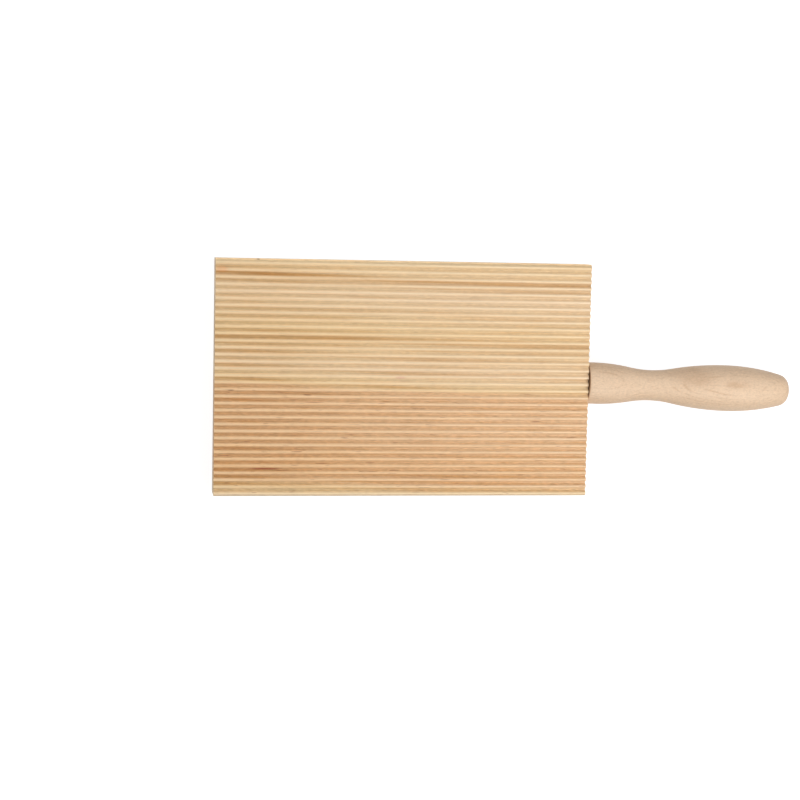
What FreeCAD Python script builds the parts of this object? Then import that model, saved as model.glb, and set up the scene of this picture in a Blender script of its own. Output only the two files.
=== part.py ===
import FreeCAD, Part
import math
import os
import Sketcher
from FreeCAD import Vector

# Gnocchi board: a ridged plank of softwood with a turned hardwood handle,
# held end to end by one fluted dowel. Lengths are in millimetres, angles in degrees.
#
# Frame: the origin is the centre of the plank's flat underside. +X runs along the
# ridges to the handle, +Y across them, +Z up through the ridged face.

doc = FreeCAD.newDocument("gnocchi_board")
sheet = doc.addObject("Spreadsheet::Sheet", "Sizes")

# Each size is written once, here: alias, value, meaning.
SIZES = (
    ("board_length", 136.6, "plank, along the ridges"),
    ("board_width", 85.0, "plank, across the ridges"),
    ("board_thickness", 12.0, "plank, underside to ridge crests"),
    ("underside_round", 0.6, "sanded arris round the underside"),
    ("ridge_pitch", 2.5, "crest to crest"),
    ("ridge_height", 1.04, "groove floor to crest"),
    ("ridge_flank", 51.5, "slope of a ridge's side from level"),
    ("crest_radius", 0.5, "rounding of a crest's shoulders"),
    ("groove_radius", 0.35, "rounding of a groove's floor"),
    ("first_groove", 0.25, "middle of the first groove from the +Y edge"),
    ("joint_gap", 0.4, "plank's end to the handle's foot, on the handle's axis"),
    ("handle_offset", 1.2, "handle's axis from the plank's middle, towards -Y"),
    ("handle_lean", 1.7, "handle's axis from square, towards -Y"),
    ("handle_length", 78.0, "foot to tip"),
    ("collar_station", 3.3, "fullest part of the foot, from the foot's face"),
    ("collar_radius", 7.67, "radius there"),
    ("waist_station", 24.5, "narrowest part of the grip, from the foot's face"),
    ("waist_radius", 5.65, "radius there"),
    ("waist_curve", 42.0, "lengthwise curve of the hollow"),
    ("belly_station", 54.0, "fullest part of the grip, from the foot's face"),
    ("belly_radius", 8.57, "radius there"),
    ("tip_round", 4.3, "rounding of the tip's shoulder"),
    ("tip_dome", 20.0, "curve of the tip's nearly flat face"),
    ("tip_face", 2.2, "radius of that face, from the axis to the shoulder"),
    ("dowel_diameter", 6.0, "over the ribs between its flutes"),
    ("dowel_length", 30.0, "end to end"),
    ("dowel_chamfer", 0.6, "lead-in at each end"),
    ("flute_count", 6, "glue flutes round the dowel"),
    ("flute_radius", 0.4, "section of a flute, centred on the dowel's surface"),
    ("glue_clearance", 0.05, "dowel to bore, on the radius"),
    ("bore_relief", 1.2, "bore past each end of the dowel"),
)

for row, (alias, value, meaning) in enumerate(SIZES, start=1):
    sheet.set("A%d" % row, alias)
    sheet.set("B%d" % row, "%g" % value)
    sheet.set("C%d" % row, meaning)
    sheet.setAlias("B%d" % row, alias)
doc.recompute()


# ------------------------------------------------------------------ helpers

def size(expression):
    """Value of an expression over the sheet's sizes."""
    return float(sheet.evalExpression(expression))


def bind(feature, prop, expression):
    """Tie a property to the sheet. The expression names sizes as Sizes.alias."""
    feature.setExpression(prop, expression)


def new_body(label):
    """One piece of the object."""
    body = doc.addObject("PartDesign::Body", label)
    body.Label = label
    return body


def origin_feature(body, role):
    """A plane or an axis of the body's own origin."""
    return [item for item in body.Origin.OriginFeatures if item.Role == role][0]


def new_sketch(body, label, plane):
    """An empty sketch on one of the body's origin planes."""
    sketch = body.newObject("Sketcher::SketchObject", label)
    sketch.AttachmentSupport = [(origin_feature(body, plane), "")]
    sketch.MapMode = "FlatFace"
    return sketch


def dimension(sketch, label, kind, refs, expression):
    """A named driving dimension of a sketch, tied to the sheet."""
    value = float(sketch.evalExpression(expression))
    if kind == "Angle":
        value = math.radians(value)
    index = sketch.addConstraint(Sketcher.Constraint(kind, *refs, value))
    sketch.renameConstraint(index, label)
    bind(sketch, "Constraints." + label, expression)


def constrain(sketch, *rules):
    """Geometric constraints, each given as (kind, refs...)."""
    for rule in rules:
        sketch.addConstraint(Sketcher.Constraint(*rule))


def line(start, end):
    """A straight stretch of an outline, between two points of the sketch plane."""
    return Part.LineSegment(start, end)


def arc(centre, radius, start, end):
    """An arc of an outline, anticlockwise from one point to another."""
    circle = Part.Circle(centre, Vector(0, 0, 1), radius)
    first = math.atan2(start.y - centre.y, start.x - centre.x)
    last = math.atan2(end.y - centre.y, end.x - centre.x)
    return Part.ArcOfCircle(circle, first, last)


START, END, CENTRE = 1, 2, 3      # a curve's named points in a constraint
X_AXIS, ORIGIN = -1, (-1, 1)      # a sketch's horizontal axis and its origin


# ------------------------------------------------------------------ ridged board

def groove_outline(sketch):
    """Section of one groove: a round floor, straight flanks and rounded shoulders.

    The outline runs on above the plank, so that the cut is open at the top.
    """
    middle = size("board_width / 2 - first_groove")
    top = size("board_thickness")
    floor = size("board_thickness - ridge_height")
    crest = size("crest_radius")
    groove = size("groove_radius")
    slope = math.radians(size("ridge_flank"))
    rounds = (crest + groove) * (1 - math.cos(slope))
    flank = (size("ridge_height") - rounds) / math.sin(slope)
    half_width = (crest + groove) * math.sin(slope) + flank * math.cos(slope)
    above = top + size("ridge_height")

    def point(side, y_from_middle, z):
        return Vector(middle + side * y_from_middle, z, 0)

    def shoulder(side):
        """Where a rounded shoulder meets its flank."""
        return point(side, half_width - crest * math.sin(slope), top - crest * (1 - math.cos(slope)))

    def foot(side):
        """Where a flank meets the groove's floor."""
        return point(side, groove * math.sin(slope), floor + groove * (1 - math.cos(slope)))

    left_centre = point(-1, half_width, top - crest)
    right_centre = point(1, half_width, top - crest)
    floor_centre = point(1, 0, floor + groove)
    left_top, right_top = point(-1, half_width, top), point(1, half_width, top)
    left_above, right_above = point(-1, half_width, above), point(1, half_width, above)
    sketch.addGeometry([
        arc(left_centre, crest, shoulder(-1), left_top),
        line(shoulder(-1), foot(-1)),
        arc(floor_centre, groove, foot(-1), foot(1)),
        line(foot(1), shoulder(1)),
        arc(right_centre, crest, right_top, shoulder(1)),
        line(right_top, right_above),
        line(right_above, left_above),
        line(left_above, left_top),
    ])
    left_arc, left_flank, floor_arc, right_flank, right_arc, right_wall, lid, left_wall = range(8)
    constrain(
        sketch,
        ("Tangent", left_arc, START, left_flank, START),
        ("Tangent", left_flank, END, floor_arc, START),
        ("Tangent", floor_arc, END, right_flank, START),
        ("Tangent", right_flank, END, right_arc, END),
        ("Perpendicular", right_arc, START, right_wall, START),
        ("Coincident", right_wall, END, lid, START),
        ("Coincident", lid, END, left_wall, START),
        ("Perpendicular", left_wall, END, left_arc, END),
        ("Vertical", right_wall),
        ("Vertical", left_wall),
        ("Horizontal", lid),
        ("Equal", left_arc, right_arc),
        ("Equal", left_flank, right_flank),
        ("Horizontal", left_arc, CENTRE, right_arc, CENTRE),
    )
    dimension(sketch, "crest", "Radius", (left_arc,), "Sizes.crest_radius")
    dimension(sketch, "floor", "Radius", (floor_arc,), "Sizes.groove_radius")
    dimension(sketch, "slope", "Angle", (X_AXIS, START, right_flank, START), "Sizes.ridge_flank")
    dimension(sketch, "middle", "DistanceX", (*ORIGIN, floor_arc, CENTRE),
              "Sizes.board_width / 2 - Sizes.first_groove")
    dimension(sketch, "depth", "DistanceY", (*ORIGIN, floor_arc, CENTRE),
              "Sizes.board_thickness - Sizes.ridge_height + Sizes.groove_radius")
    dimension(sketch, "top", "DistanceY", (*ORIGIN, right_arc, START), "Sizes.board_thickness")
    dimension(sketch, "above", "DistanceY", (right_wall, START, right_wall, END), "Sizes.ridge_height")


def build_ridged_board():
    """The plank: a slab with its grooves cut full length and a bore in its +X end."""
    body = new_body("ridged_board")

    plan = new_sketch(body, "board_plan", "XY_Plane")
    half_length, half_width = size("board_length / 2"), size("board_width / 2")
    corners = [
        Vector(-half_length, -half_width, 0),
        Vector(half_length, -half_width, 0),
        Vector(half_length, half_width, 0),
        Vector(-half_length, half_width, 0),
    ]
    plan.addGeometry([line(corners[i], corners[(i + 1) % 4]) for i in range(4)])
    constrain(
        plan,
        ("Coincident", 0, END, 1, START),
        ("Coincident", 1, END, 2, START),
        ("Coincident", 2, END, 3, START),
        ("Coincident", 3, END, 0, START),
        ("Horizontal", 0),
        ("Horizontal", 2),
        ("Vertical", 1),
        ("Vertical", 3),
        ("Symmetric", 0, START, 1, END, *ORIGIN),
    )
    dimension(plan, "length", "DistanceX", (0, START, 0, END), "Sizes.board_length")
    dimension(plan, "width", "DistanceY", (1, START, 1, END), "Sizes.board_width")

    slab = body.newObject("PartDesign::Pad", "board_slab")
    slab.Profile = plan
    bind(slab, "Length", "Sizes.board_thickness")
    doc.recompute()

    # The arris round the underside is sanded round. The ridged face is left as cut.
    eased = body.newObject("PartDesign::Fillet", "underside_arris")
    eased.Base = (slab, ["Edge%d" % (i + 1) for i, edge in enumerate(slab.Shape.Edges)
                         if edge.BoundBox.ZMax < size("board_thickness / 2")])
    bind(eased, "Radius", "Sizes.underside_round")
    doc.recompute()

    section = new_sketch(body, "groove_section", "YZ_Plane")
    groove_outline(section)
    groove = body.newObject("PartDesign::Pocket", "groove")
    groove.Profile = section
    groove.Type = "ThroughAll"
    groove.SideType = "Symmetric"
    doc.recompute()

    # The last groove runs off the -Y edge, as the first one starts at the +Y edge.
    grooves = body.newObject("PartDesign::LinearPattern", "grooves")
    grooves.Originals = [groove]
    grooves.Direction = (origin_feature(body, "Y_Axis"), [""])
    grooves.Reversed = True
    grooves.Mode = "Spacing"
    bind(grooves, "Offset", "Sizes.ridge_pitch")
    bind(grooves, "Occurrences",
         "floor((Sizes.board_width - Sizes.first_groove) / Sizes.ridge_pitch + 0.5) + 1")
    body.Tip = grooves
    doc.recompute()

    # The bore is drilled along the handle's own axis, from the plane of the handle's foot.
    mouth = new_sketch(body, "board_bore_mouth", "YZ_Plane")
    bind(mouth, "AttachmentOffset",
         "placement(vector(-Sizes.handle_offset; Sizes.board_thickness / 2; "
         "Sizes.board_length / 2 + Sizes.joint_gap); rotation(vector(0; 1; 0); -Sizes.handle_lean))")
    drill_dowel_bore(body, mouth, "board_bore", "Sizes.joint_gap / 2", into_plus_x=False)
    return body


# ------------------------------------------------------------------ dowel joint

def drill_dowel_bore(body, mouth, label, to_dowel_middle, into_plus_x):
    """A drilled blind bore for half of the dowel, from the plane of a mouth sketch.

    to_dowel_middle is the distance from that plane to the dowel's middle, on the bore's side.
    """
    mouth.addGeometry(Part.Circle(Vector(0, 0, 0), Vector(0, 0, 1), size("dowel_diameter / 2")))
    constrain(mouth, ("Coincident", 0, CENTRE, *ORIGIN))
    dimension(mouth, "bore", "Diameter", (0,), "Sizes.dowel_diameter + 2 * Sizes.glue_clearance")
    doc.recompute()
    solid_before = body.Tip.Shape.Volume
    bore = body.newObject("PartDesign::Hole", label)
    bore.Profile = mouth
    doc.recompute()
    bore.Reversed = into_plus_x
    bore.DepthType = "Dimension"
    bore.DrillPoint = "Flat"
    bind(bore, "Diameter", "Sizes.dowel_diameter + 2 * Sizes.glue_clearance")
    bind(bore, "Depth", "Sizes.dowel_length / 2 + Sizes.bore_relief + " + to_dowel_middle)
    body.Tip = bore
    doc.recompute()
    if bore.Shape.Volume >= solid_before:
        raise RuntimeError(label + " cuts nothing")


def build_dowel():
    """Fluted dowel, half in the plank and half in the handle, along its own X axis."""
    body = new_body("dowel")

    section = new_sketch(body, "dowel_section", "YZ_Plane")
    section.addGeometry(Part.Circle(Vector(0, 0, 0), Vector(0, 0, 1), size("dowel_diameter / 2")))
    constrain(section, ("Coincident", 0, CENTRE, *ORIGIN))
    dimension(section, "diameter", "Diameter", (0,), "Sizes.dowel_diameter")
    rod = body.newObject("PartDesign::Pad", "dowel_rod")
    rod.Profile = section
    rod.SideType = "Symmetric"
    bind(rod, "Length", "Sizes.dowel_length")
    doc.recompute()

    ends = body.newObject("PartDesign::Chamfer", "dowel_ends")
    ends.Base = (rod, ["Edge%d" % (i + 1) for i, edge in enumerate(rod.Shape.Edges)
                       if edge.BoundBox.XLength < size("dowel_chamfer")])
    bind(ends, "Size", "Sizes.dowel_chamfer")
    doc.recompute()

    flute_section = new_sketch(body, "flute_section", "YZ_Plane")
    rim = Vector(0, size("dowel_diameter / 2"), 0)
    flute_section.addGeometry(Part.Circle(rim, Vector(0, 0, 1), size("flute_radius")))
    constrain(flute_section, ("Vertical", 0, CENTRE, *ORIGIN))
    dimension(flute_section, "rim", "DistanceY", (*ORIGIN, 0, CENTRE), "Sizes.dowel_diameter / 2")
    dimension(flute_section, "radius", "Radius", (0,), "Sizes.flute_radius")
    flute = body.newObject("PartDesign::Pocket", "flute")
    flute.Profile = flute_section
    flute.Type = "ThroughAll"
    flute.SideType = "Symmetric"
    doc.recompute()

    flutes = body.newObject("PartDesign::PolarPattern", "flutes")
    flutes.Originals = [flute]
    flutes.Axis = (origin_feature(body, "X_Axis"), [""])
    bind(flutes, "Occurrences", "Sizes.flute_count")
    body.Tip = flutes

    # The dowel's middle lies halfway across the gap, on the handle's axis.
    bind(body, "Placement",
         "placement(vector(Sizes.board_length / 2 + Sizes.joint_gap * (1 - cos(Sizes.handle_lean) / 2); "
         "-Sizes.handle_offset + Sizes.joint_gap * sin(Sizes.handle_lean) / 2; "
         "Sizes.board_thickness / 2); rotation(vector(0; 0; 1); -Sizes.handle_lean))")
    return body


# ------------------------------------------------------------------ handle

def touching_radii(station_a, radius_a, station_b, radius_b):
    """Sum of the radii of two arcs that bend opposite ways and touch.

    Each arc is level at its own station, where the turning has the radius given for it.
    """
    along, across = station_b - station_a, abs(radius_b - radius_a)
    return (along ** 2 + across ** 2) / (2 * across)


def falling_radius(full, round_centre, round_radius):
    """Radius of an arc that starts level at the full part and falls into a smaller round one.

    The full part and the round's centre are each given as a station and a radius.
    """
    along, across = round_centre[0] - full[0], full[1] - round_centre[1]
    return (along ** 2 + across ** 2 - round_radius ** 2) / (2 * (across - round_radius))


def towards(start, end, distance):
    """The point at a distance from start, on the line through start and end."""
    return start + (end - start).normalize() * distance


def handle_outline(sketch):
    """Half section of the handle: six arcs, each tangent to the next, and the foot's face."""
    length, waist_curve = size("handle_length"), size("waist_curve")
    tip_round, tip_dome, tip_face = size("tip_round"), size("tip_dome"), size("tip_face")
    collar = (size("collar_station"), size("collar_radius"))
    waist = (size("waist_station"), size("waist_radius"))
    belly = (size("belly_station"), size("belly_radius"))
    collar_curve = touching_radii(*collar, *waist) - waist_curve
    rising_curve = touching_radii(*waist, *belly) - waist_curve
    dome_centre = Vector(length - tip_dome, 0, 0)
    face_rim = Vector(dome_centre.x + math.sqrt(tip_dome ** 2 - tip_face ** 2), tip_face, 0)
    round_centre = towards(face_rim, dome_centre, tip_round)
    falling_curve = falling_radius(belly, (round_centre.x, round_centre.y), tip_round)

    collar_centre = Vector(collar[0], collar[1] - collar_curve, 0)
    waist_centre = Vector(waist[0], waist[1] + waist_curve, 0)
    rising_centre = Vector(belly[0], belly[1] - rising_curve, 0)
    falling_centre = Vector(belly[0], belly[1] - falling_curve, 0)

    foot_middle, tip = Vector(0, 0, 0), Vector(length, 0, 0)
    foot_rim = Vector(0, collar_centre.y + math.sqrt(collar_curve ** 2 - collar[0] ** 2), 0)
    collar_end = towards(collar_centre, waist_centre, collar_curve)
    waist_end = towards(rising_centre, waist_centre, rising_curve)
    belly_top = Vector(belly[0], belly[1], 0)
    belly_end = towards(falling_centre, round_centre, falling_curve)
    sketch.addGeometry([
        line(foot_middle, foot_rim),
        arc(collar_centre, collar_curve, collar_end, foot_rim),
        arc(waist_centre, waist_curve, collar_end, waist_end),
        arc(rising_centre, rising_curve, belly_top, waist_end),
        arc(falling_centre, falling_curve, belly_end, belly_top),
        arc(round_centre, tip_round, face_rim, belly_end),
        arc(dome_centre, tip_dome, tip, face_rim),
        line(tip, foot_middle),
    ])
    foot, collar_arc, waist_arc, rising_arc, falling_arc, round_arc, dome_arc, axis = range(8)
    constrain(
        sketch,
        ("Coincident", foot, START, *ORIGIN),
        ("Vertical", foot),
        ("Coincident", foot, END, collar_arc, END),
        ("Tangent", collar_arc, START, waist_arc, START),
        ("Tangent", waist_arc, END, rising_arc, END),
        ("Coincident", rising_arc, START, falling_arc, END),
        ("Vertical", rising_arc, START, rising_arc, CENTRE),
        ("Vertical", falling_arc, END, falling_arc, CENTRE),
        ("Tangent", falling_arc, START, round_arc, END),
        ("Tangent", round_arc, START, dome_arc, END),
        ("Coincident", dome_arc, START, axis, START),
        ("Coincident", axis, END, *ORIGIN),
        ("Horizontal", axis),
        ("PointOnObject", dome_arc, CENTRE, X_AXIS),
    )
    dimension(sketch, "length", "DistanceX", (*ORIGIN, axis, START), "Sizes.handle_length")
    dimension(sketch, "collar_station", "DistanceX", (*ORIGIN, collar_arc, CENTRE),
              "Sizes.collar_station")
    dimension(sketch, "waist_station", "DistanceX", (*ORIGIN, waist_arc, CENTRE),
              "Sizes.waist_station")
    dimension(sketch, "waist_curve", "Radius", (waist_arc,), "Sizes.waist_curve")
    dimension(sketch, "waist_centre", "DistanceY", (*ORIGIN, waist_arc, CENTRE),
              "Sizes.waist_radius + Sizes.waist_curve")
    dimension(sketch, "belly_station", "DistanceX", (*ORIGIN, rising_arc, START),
              "Sizes.belly_station")
    dimension(sketch, "belly_radius", "DistanceY", (*ORIGIN, rising_arc, START),
              "Sizes.belly_radius")
    dimension(sketch, "tip_round", "Radius", (round_arc,), "Sizes.tip_round")
    dimension(sketch, "tip_dome", "Radius", (dome_arc,), "Sizes.tip_dome")
    dimension(sketch, "tip_face", "DistanceY", (*ORIGIN, dome_arc, END), "Sizes.tip_face")

    # A point on the collar's arc, level with its top, holds the collar's radius.
    collar_top = sketch.addGeometry(Part.Point(Vector(*collar, 0)), True)
    constrain(
        sketch,
        ("PointOnObject", collar_top, START, collar_arc),
        ("Vertical", collar_top, START, collar_arc, CENTRE),
    )
    dimension(sketch, "collar_radius", "DistanceY", (*ORIGIN, collar_top, START),
              "Sizes.collar_radius")


def build_handle():
    """The handle: turned about its own X axis, which starts at the foot, and bored there."""
    body = new_body("handle")
    outline = new_sketch(body, "handle_outline", "XY_Plane")
    handle_outline(outline)
    turning = body.newObject("PartDesign::Revolution", "handle_turning")
    turning.Profile = outline
    turning.ReferenceAxis = (outline, ["H_Axis"])
    turning.Angle = 360
    doc.recompute()

    mouth = new_sketch(body, "handle_bore_mouth", "YZ_Plane")
    drill_dowel_bore(body, mouth, "handle_bore", "-Sizes.joint_gap / 2", into_plus_x=True)
    bind(body, "Placement",
         "placement(vector(Sizes.board_length / 2 + Sizes.joint_gap; -Sizes.handle_offset; "
         "Sizes.board_thickness / 2); rotation(vector(0; 0; 1); -Sizes.handle_lean))")
    return body


# ------------------------------------------------------------------ build and write

pieces = [build_ridged_board(), build_handle(), build_dowel()]
doc.recompute()

for item in doc.Objects:
    if "Invalid" in item.State or "Error" in item.State:
        raise RuntimeError("%s did not build: %s" % (item.Label, item.State))
for piece in pieces:
    if piece.Shape.isNull() or not piece.Shape.isValid():
        raise RuntimeError(piece.Label + " has no valid shape")

os.makedirs("parts", exist_ok=True)
for piece in pieces:
    piece.Shape.exportStep(os.path.join("parts", piece.Label + ".step"))
    box = piece.Shape.optimalBoundingBox(False)
    print("%-14s solids %d  volume %9.1f mm3  x %.2f..%.2f  y %.2f..%.2f  z %.2f..%.2f" % (
        piece.Label, len(piece.Shape.Solids), piece.Shape.Volume,
        box.XMin, box.XMax, box.YMin, box.YMax, box.ZMin, box.ZMax))
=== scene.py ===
"""Looks of a gnocchi board: a ridged softwood plank, a turned hardwood handle and its dowel.

Everything is in metres, in the part's own frame: the origin is the centre of the plank's flat
underside, +X runs along the ridges to the handle, +Y across them and +Z up through the ridges.
"""

from __future__ import annotations

import logging
import math
from collections.abc import Callable, Iterator, Sequence
from contextlib import contextmanager
from dataclasses import dataclass, field
from enum import Enum

import bmesh
import bpy
from mathutils import Matrix, Vector

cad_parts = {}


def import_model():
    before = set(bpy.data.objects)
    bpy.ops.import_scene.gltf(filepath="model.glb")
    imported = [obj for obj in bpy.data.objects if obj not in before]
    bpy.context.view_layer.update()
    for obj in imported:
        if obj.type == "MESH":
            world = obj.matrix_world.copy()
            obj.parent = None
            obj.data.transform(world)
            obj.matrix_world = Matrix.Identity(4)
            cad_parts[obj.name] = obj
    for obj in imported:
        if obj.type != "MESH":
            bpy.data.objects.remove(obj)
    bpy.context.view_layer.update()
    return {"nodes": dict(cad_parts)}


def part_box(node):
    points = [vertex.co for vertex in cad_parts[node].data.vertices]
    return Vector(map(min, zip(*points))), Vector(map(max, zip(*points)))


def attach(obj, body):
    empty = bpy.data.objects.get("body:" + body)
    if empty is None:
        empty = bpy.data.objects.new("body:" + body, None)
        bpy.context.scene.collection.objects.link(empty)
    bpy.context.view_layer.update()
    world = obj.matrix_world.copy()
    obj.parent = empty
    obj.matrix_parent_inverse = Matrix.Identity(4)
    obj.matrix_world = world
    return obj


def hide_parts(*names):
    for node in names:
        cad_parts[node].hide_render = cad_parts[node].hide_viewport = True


log = logging.getLogger("gnocchi_board")

MM = 0.001
TOUCH = 0.001 * MM  # places closer than this count as one
BODY = "root"

Place = tuple[float, float, float]
Colour = tuple[float, float, float]
Pair = tuple[float, float]
Zones = tuple[tuple[float, Colour], ...]
Stops = list[tuple[float, Sequence[float]]]
Socket = bpy.types.NodeSocket


class Element(Enum):
    """Kind of mesh element that a selection takes."""

    VERTEX = "VERT"
    EDGE = "EDGE"
    FACE = "FACE"


# ---------------------------------------------------------------- colours


def linear(red: float, green: float, blue: float) -> tuple[float, float, float, float]:
    """A display colour as the light values that a shader takes.

    Args:
        red: Display red, 0 to 255.
        green: Display green, 0 to 255.
        blue: Display blue, 0 to 255.

    Returns:
        Linear red, green and blue, and an alpha of 1.
    """
    values = []
    for channel in (red, green, blue):
        share = channel / 255
        values.append(share / 12.92 if share <= 0.04045 else ((share + 0.055) / 1.055) ** 2.4)
    return (*values, 1.0)


# ---------------------------------------------------------------- modelling


class Bench:
    """The few moves that every piece is modelled with."""

    @staticmethod
    def clear() -> None:
        """Leaves nothing selected."""
        bpy.ops.object.select_all(action="DESELECT")

    @staticmethod
    def take(piece: bpy.types.Object) -> None:
        """Makes a piece the only one selected, and the active one.

        Args:
            piece: The piece to work on.
        """
        Bench.clear()
        piece.select_set(True)
        bpy.context.view_layer.objects.active = piece

    @staticmethod
    def name(label: str) -> bpy.types.Object:
        """Names the primitive that was just added.

        Args:
            label: The piece's name.

        Returns:
            The new piece.
        """
        piece = bpy.context.active_object
        piece.name = label
        piece.data.name = label
        return piece

    @staticmethod
    @contextmanager
    def editing(piece: bpy.types.Object, select: str = "DESELECT") -> Iterator[None]:
        """Opens a piece in edit mode, and closes it again.

        Args:
            piece: The piece to edit.
            select: "SELECT" to start with everything selected instead of nothing.

        Yields:
            Nothing: the piece is in edit mode inside the block.
        """
        Bench.take(piece)
        bpy.ops.object.mode_set(mode="EDIT")
        bpy.ops.mesh.select_all(action=select)
        yield
        bpy.ops.object.mode_set(mode="OBJECT")

    @staticmethod
    def pick(piece: bpy.types.Object, kind: Element, test: Callable[[object], bool]) -> int:
        """Selects the elements of a piece in edit mode that pass a test, and no others.

        Args:
            piece: The piece, in edit mode.
            kind: Which elements are tested.
            test: Says whether an element is wanted.

        Returns:
            How many elements are selected.
        """
        bpy.ops.mesh.select_mode(type=kind.value)
        mesh = bmesh.from_edit_mesh(piece.data)
        for element in (*mesh.verts, *mesh.edges, *mesh.faces):
            element.select = False
        pools = {Element.VERTEX: mesh.verts, Element.EDGE: mesh.edges, Element.FACE: mesh.faces}
        wanted = [element for element in pools[kind] if test(element)]
        for element in wanted:
            element.select_set(True)
        mesh.select_flush_mode()
        bmesh.update_edit_mesh(piece.data)
        return len(wanted)

    @staticmethod
    def apply(piece: bpy.types.Object, kind: str, **settings: object) -> None:
        """Adds a modifier to a piece and applies it at once.

        Args:
            piece: The piece.
            kind: Blender's name for the modifier.
            **settings: The modifier's own settings.
        """
        Bench.take(piece)
        modifier = piece.modifiers.new(kind.lower(), kind)
        for key, value in settings.items():
            setattr(modifier, key, value)
        bpy.ops.object.modifier_apply(modifier=modifier.name)

    @staticmethod
    def settle(piece: bpy.types.Object) -> None:
        """Puts a piece's place, turn and scale into its mesh."""
        Bench.take(piece)
        bpy.ops.object.transform_apply(location=True, rotation=True, scale=True)

    @staticmethod
    def stand(piece: bpy.types.Object, place: Place, turn: float) -> None:
        """Turns a piece about Z, moves it and settles it.

        Args:
            piece: The piece.
            place: Where its origin goes.
            turn: The turn, in radians.
        """
        piece.rotation_euler = (0, 0, turn)
        piece.location = place
        Bench.settle(piece)

    @staticmethod
    def dress(piece: bpy.types.Object, material: bpy.types.Material) -> None:
        """Gives a piece one material in place of those it has."""
        piece.data.materials.clear()
        piece.data.materials.append(material)

    @staticmethod
    def smooth(piece: bpy.types.Object, angle: float) -> None:
        """Shades a piece smooth, with edges that turn by more than an angle kept sharp."""
        Bench.take(piece)
        bpy.ops.object.shade_smooth_by_angle(angle=angle)

    @staticmethod
    def hand_over(piece: bpy.types.Object, node: str, slot: str) -> None:
        """Gives a finished piece to the part's body, and hides the solid that it stands for.

        Args:
            piece: The finished piece.
            node: The solid that it stands for.
            slot: Not used.
        """
        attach(piece, BODY)
        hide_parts(node)
        log.info("%s: %d faces", piece.name, len(piece.data.polygons))


# ---------------------------------------------------------------- shader graph


@dataclass(frozen=True)
class Step:
    """A smooth step, level before its start and after its end.

    Attributes:
        start: Where it starts.
        end: Where it ends.
        before: Result before it.
        after: Result after it.
    """

    start: float
    end: float
    before: float = 0.0
    after: float = 1.0


@dataclass(frozen=True)
class Figure:
    """A soft noise in wood.

    Attributes:
        cells: Cells per metre along the grain, across it and through it.
        detail: Octaves.
        roughness: Share of the finer octaves.
    """

    cells: Place
    detail: float = 1.0
    roughness: float = 0.5


@dataclass(frozen=True)
class Fleck:
    """A small oval stain, seen from above.

    Attributes:
        x: Along the piece, in millimetres.
        y: Across it, in millimetres.
        length: Along the grain, in millimetres.
        width: Across it, in millimetres.
        colour: Display colour.
        strength: Share of that colour.
        fade: Where it starts and ends to fade, with 1 at the oval's rim.
    """

    x: float
    y: float
    length: float
    width: float
    colour: Colour
    strength: float
    fade: Pair = (0.3, 1.1)


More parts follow.
